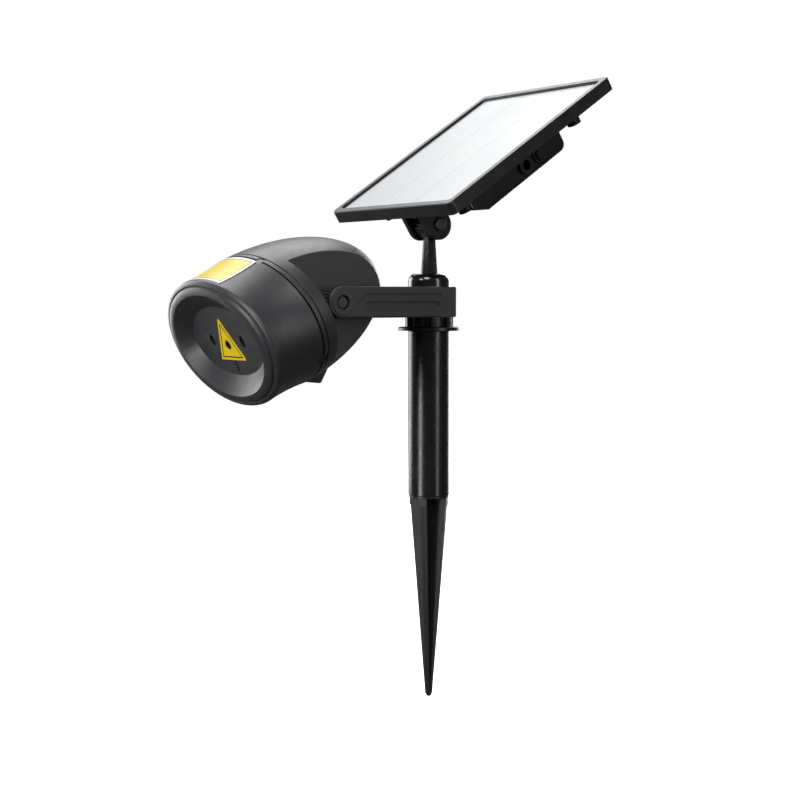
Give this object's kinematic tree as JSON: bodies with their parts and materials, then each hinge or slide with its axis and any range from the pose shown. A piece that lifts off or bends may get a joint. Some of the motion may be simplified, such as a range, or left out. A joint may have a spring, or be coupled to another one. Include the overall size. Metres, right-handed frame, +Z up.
{
  "type": "light projector stake",
  "caption": "Garden light projector: barrel lamp head tilting in a U yoke on a spiked tube, with a tilting solar panel and battery box on a short mast above.",
  "frame": {"origin": "on the stake's axis at ground level, where the tube meets the spike", "axes": "+Z up along the tube, the lamp points towards -X, and its tilt axis lies along Y"},
  "size_m": [0.2937, 0.138, 0.4343],
  "materials": {
    "spike_plastic": "moulded black plastic with a faint sheen",
    "tube_black": "satin black powder coat",
    "bush_plastic": "moulded black plastic",
    "bracket_plastic": "fine-textured charcoal plastic",
    "head_plastic": "spark-eroded texture on dark grey plastic",
    "disc_plastic": "finer dark grey texture",
    "post_plastic": "glossy black plastic",
    "frame_plastic": "satin black plastic",
    "box_plastic": "matt black plastic",
    "panel_glass": "tempered prismatic glass",
    "cell_silicon": "silicon cells behind pale encapsulant",
    "circuit_green": "solder mask",
    "white_sheet": "white backing sheet",
    "zinc_steel": "zinc-plated steel",
    "black_steel": "blackened steel",
    "laser_brass": "turned brass",
    "sink_aluminium": "anodised",
    "lens_glass": "coated optical glass",
    "smoked_window": "smoked clear plastic",
    "seal_rubber": "soft black rubber",
    "button_rubber": "moulded rubber boot",
    "label_yellow": "printed yellow sheet with a dark line",
    "battery_wrap": "shrink wrap"
  },
  "bodies": {
    "stake": {"ground_spike": "spike_plastic", "stake_tube": "tube_black", "stake_bush": "bush_plastic", "swivel_bolt": "zinc_steel", "swivel_washer": "zinc_steel", "swivel_nut": "zinc_steel"},
    "bracket": {"yoke": "bracket_plastic", "swivel_collar": "bush_plastic", "pivot_bolts": "black_steel", "pivot_nuts": "zinc_steel", "pivot_washers": "seal_rubber"},
    "head": {"front_shell": "head_plastic", "rear_shell": "head_plastic", "seal_ring": "seal_rubber", "shell_clips": "bush_plastic", "front_disc": "disc_plastic", "indicator_windows": "smoked_window", "sensor_window": "smoked_window", "aperture_ring": "bush_plastic", "triangle_label": "label_yellow", "top_label": "label_yellow", "grating_lens": "lens_glass", "laser_module": "laser_brass", "heat_sink": "sink_aluminium", "module_holder": "bush_plastic", "driver_board": "circuit_green", "board_screws": "zinc_steel", "switch_pod": "bush_plastic", "cable_gland": "bush_plastic"},
    "mode_button": {"mode_button": "button_rubber"},
    "mast": {"mast_cap": "post_plastic", "panel_post": "post_plastic"},
    "panel": {"panel_frame": "frame_plastic", "panel_glass": "panel_glass", "solar_cells": "cell_silicon", "cell_board": "white_sheet", "panel_back": "box_plastic", "back_screws": "black_steel", "battery_box": "box_plastic", "box_screws": "black_steel", "battery_cells": "battery_wrap", "cell_holder": "bush_plastic", "charge_board": "circuit_green", "cable_socket": "bush_plastic", "panel_clevis": "bush_plastic", "clevis_screws": "black_steel", "hinge_washers": "bush_plastic", "hinge_bolt": "black_steel", "hinge_nut": "zinc_steel"},
    "power_button": {"power_button": "button_rubber"}
  },
  "joints": [
    {"name": "yoke_swivel", "type": "hinge", "parent": "stake", "child": "bracket", "pos_m": [0, 0, 0.125], "axis": [0, 0, 1], "range_deg": [-170, 170]},
    {"name": "head_tilt", "type": "hinge", "parent": "bracket", "child": "head", "pos_m": [-0.108, 0, 0.135], "axis": [0, 1, 0], "range_deg": [-32, 60]},
    {"name": "mode_press", "type": "slide", "parent": "head", "child": "mode_button", "axis": [-0.4226, 0, 0.9063], "range_m": [0, 0.001], "stiffness_N_per_m": 250, "springref_m": -0.0005},
    {"name": "mast_swivel", "type": "hinge", "parent": "bracket", "child": "mast", "pos_m": [0, 0, 0.1453], "axis": [0, 0, 1], "range_deg": [-75, 75]},
    {"name": "panel_tilt", "type": "hinge", "parent": "mast", "child": "panel", "pos_m": [0, 0, 0.188], "axis": [0, -1, 0], "range_deg": [-22, 30]},
    {"name": "power_press", "type": "slide", "parent": "panel", "child": "power_button", "axis": [0, 1, 0], "range_m": [0, 0.0015], "stiffness_N_per_m": 250, "springref_m": -0.0005}
  ]
}
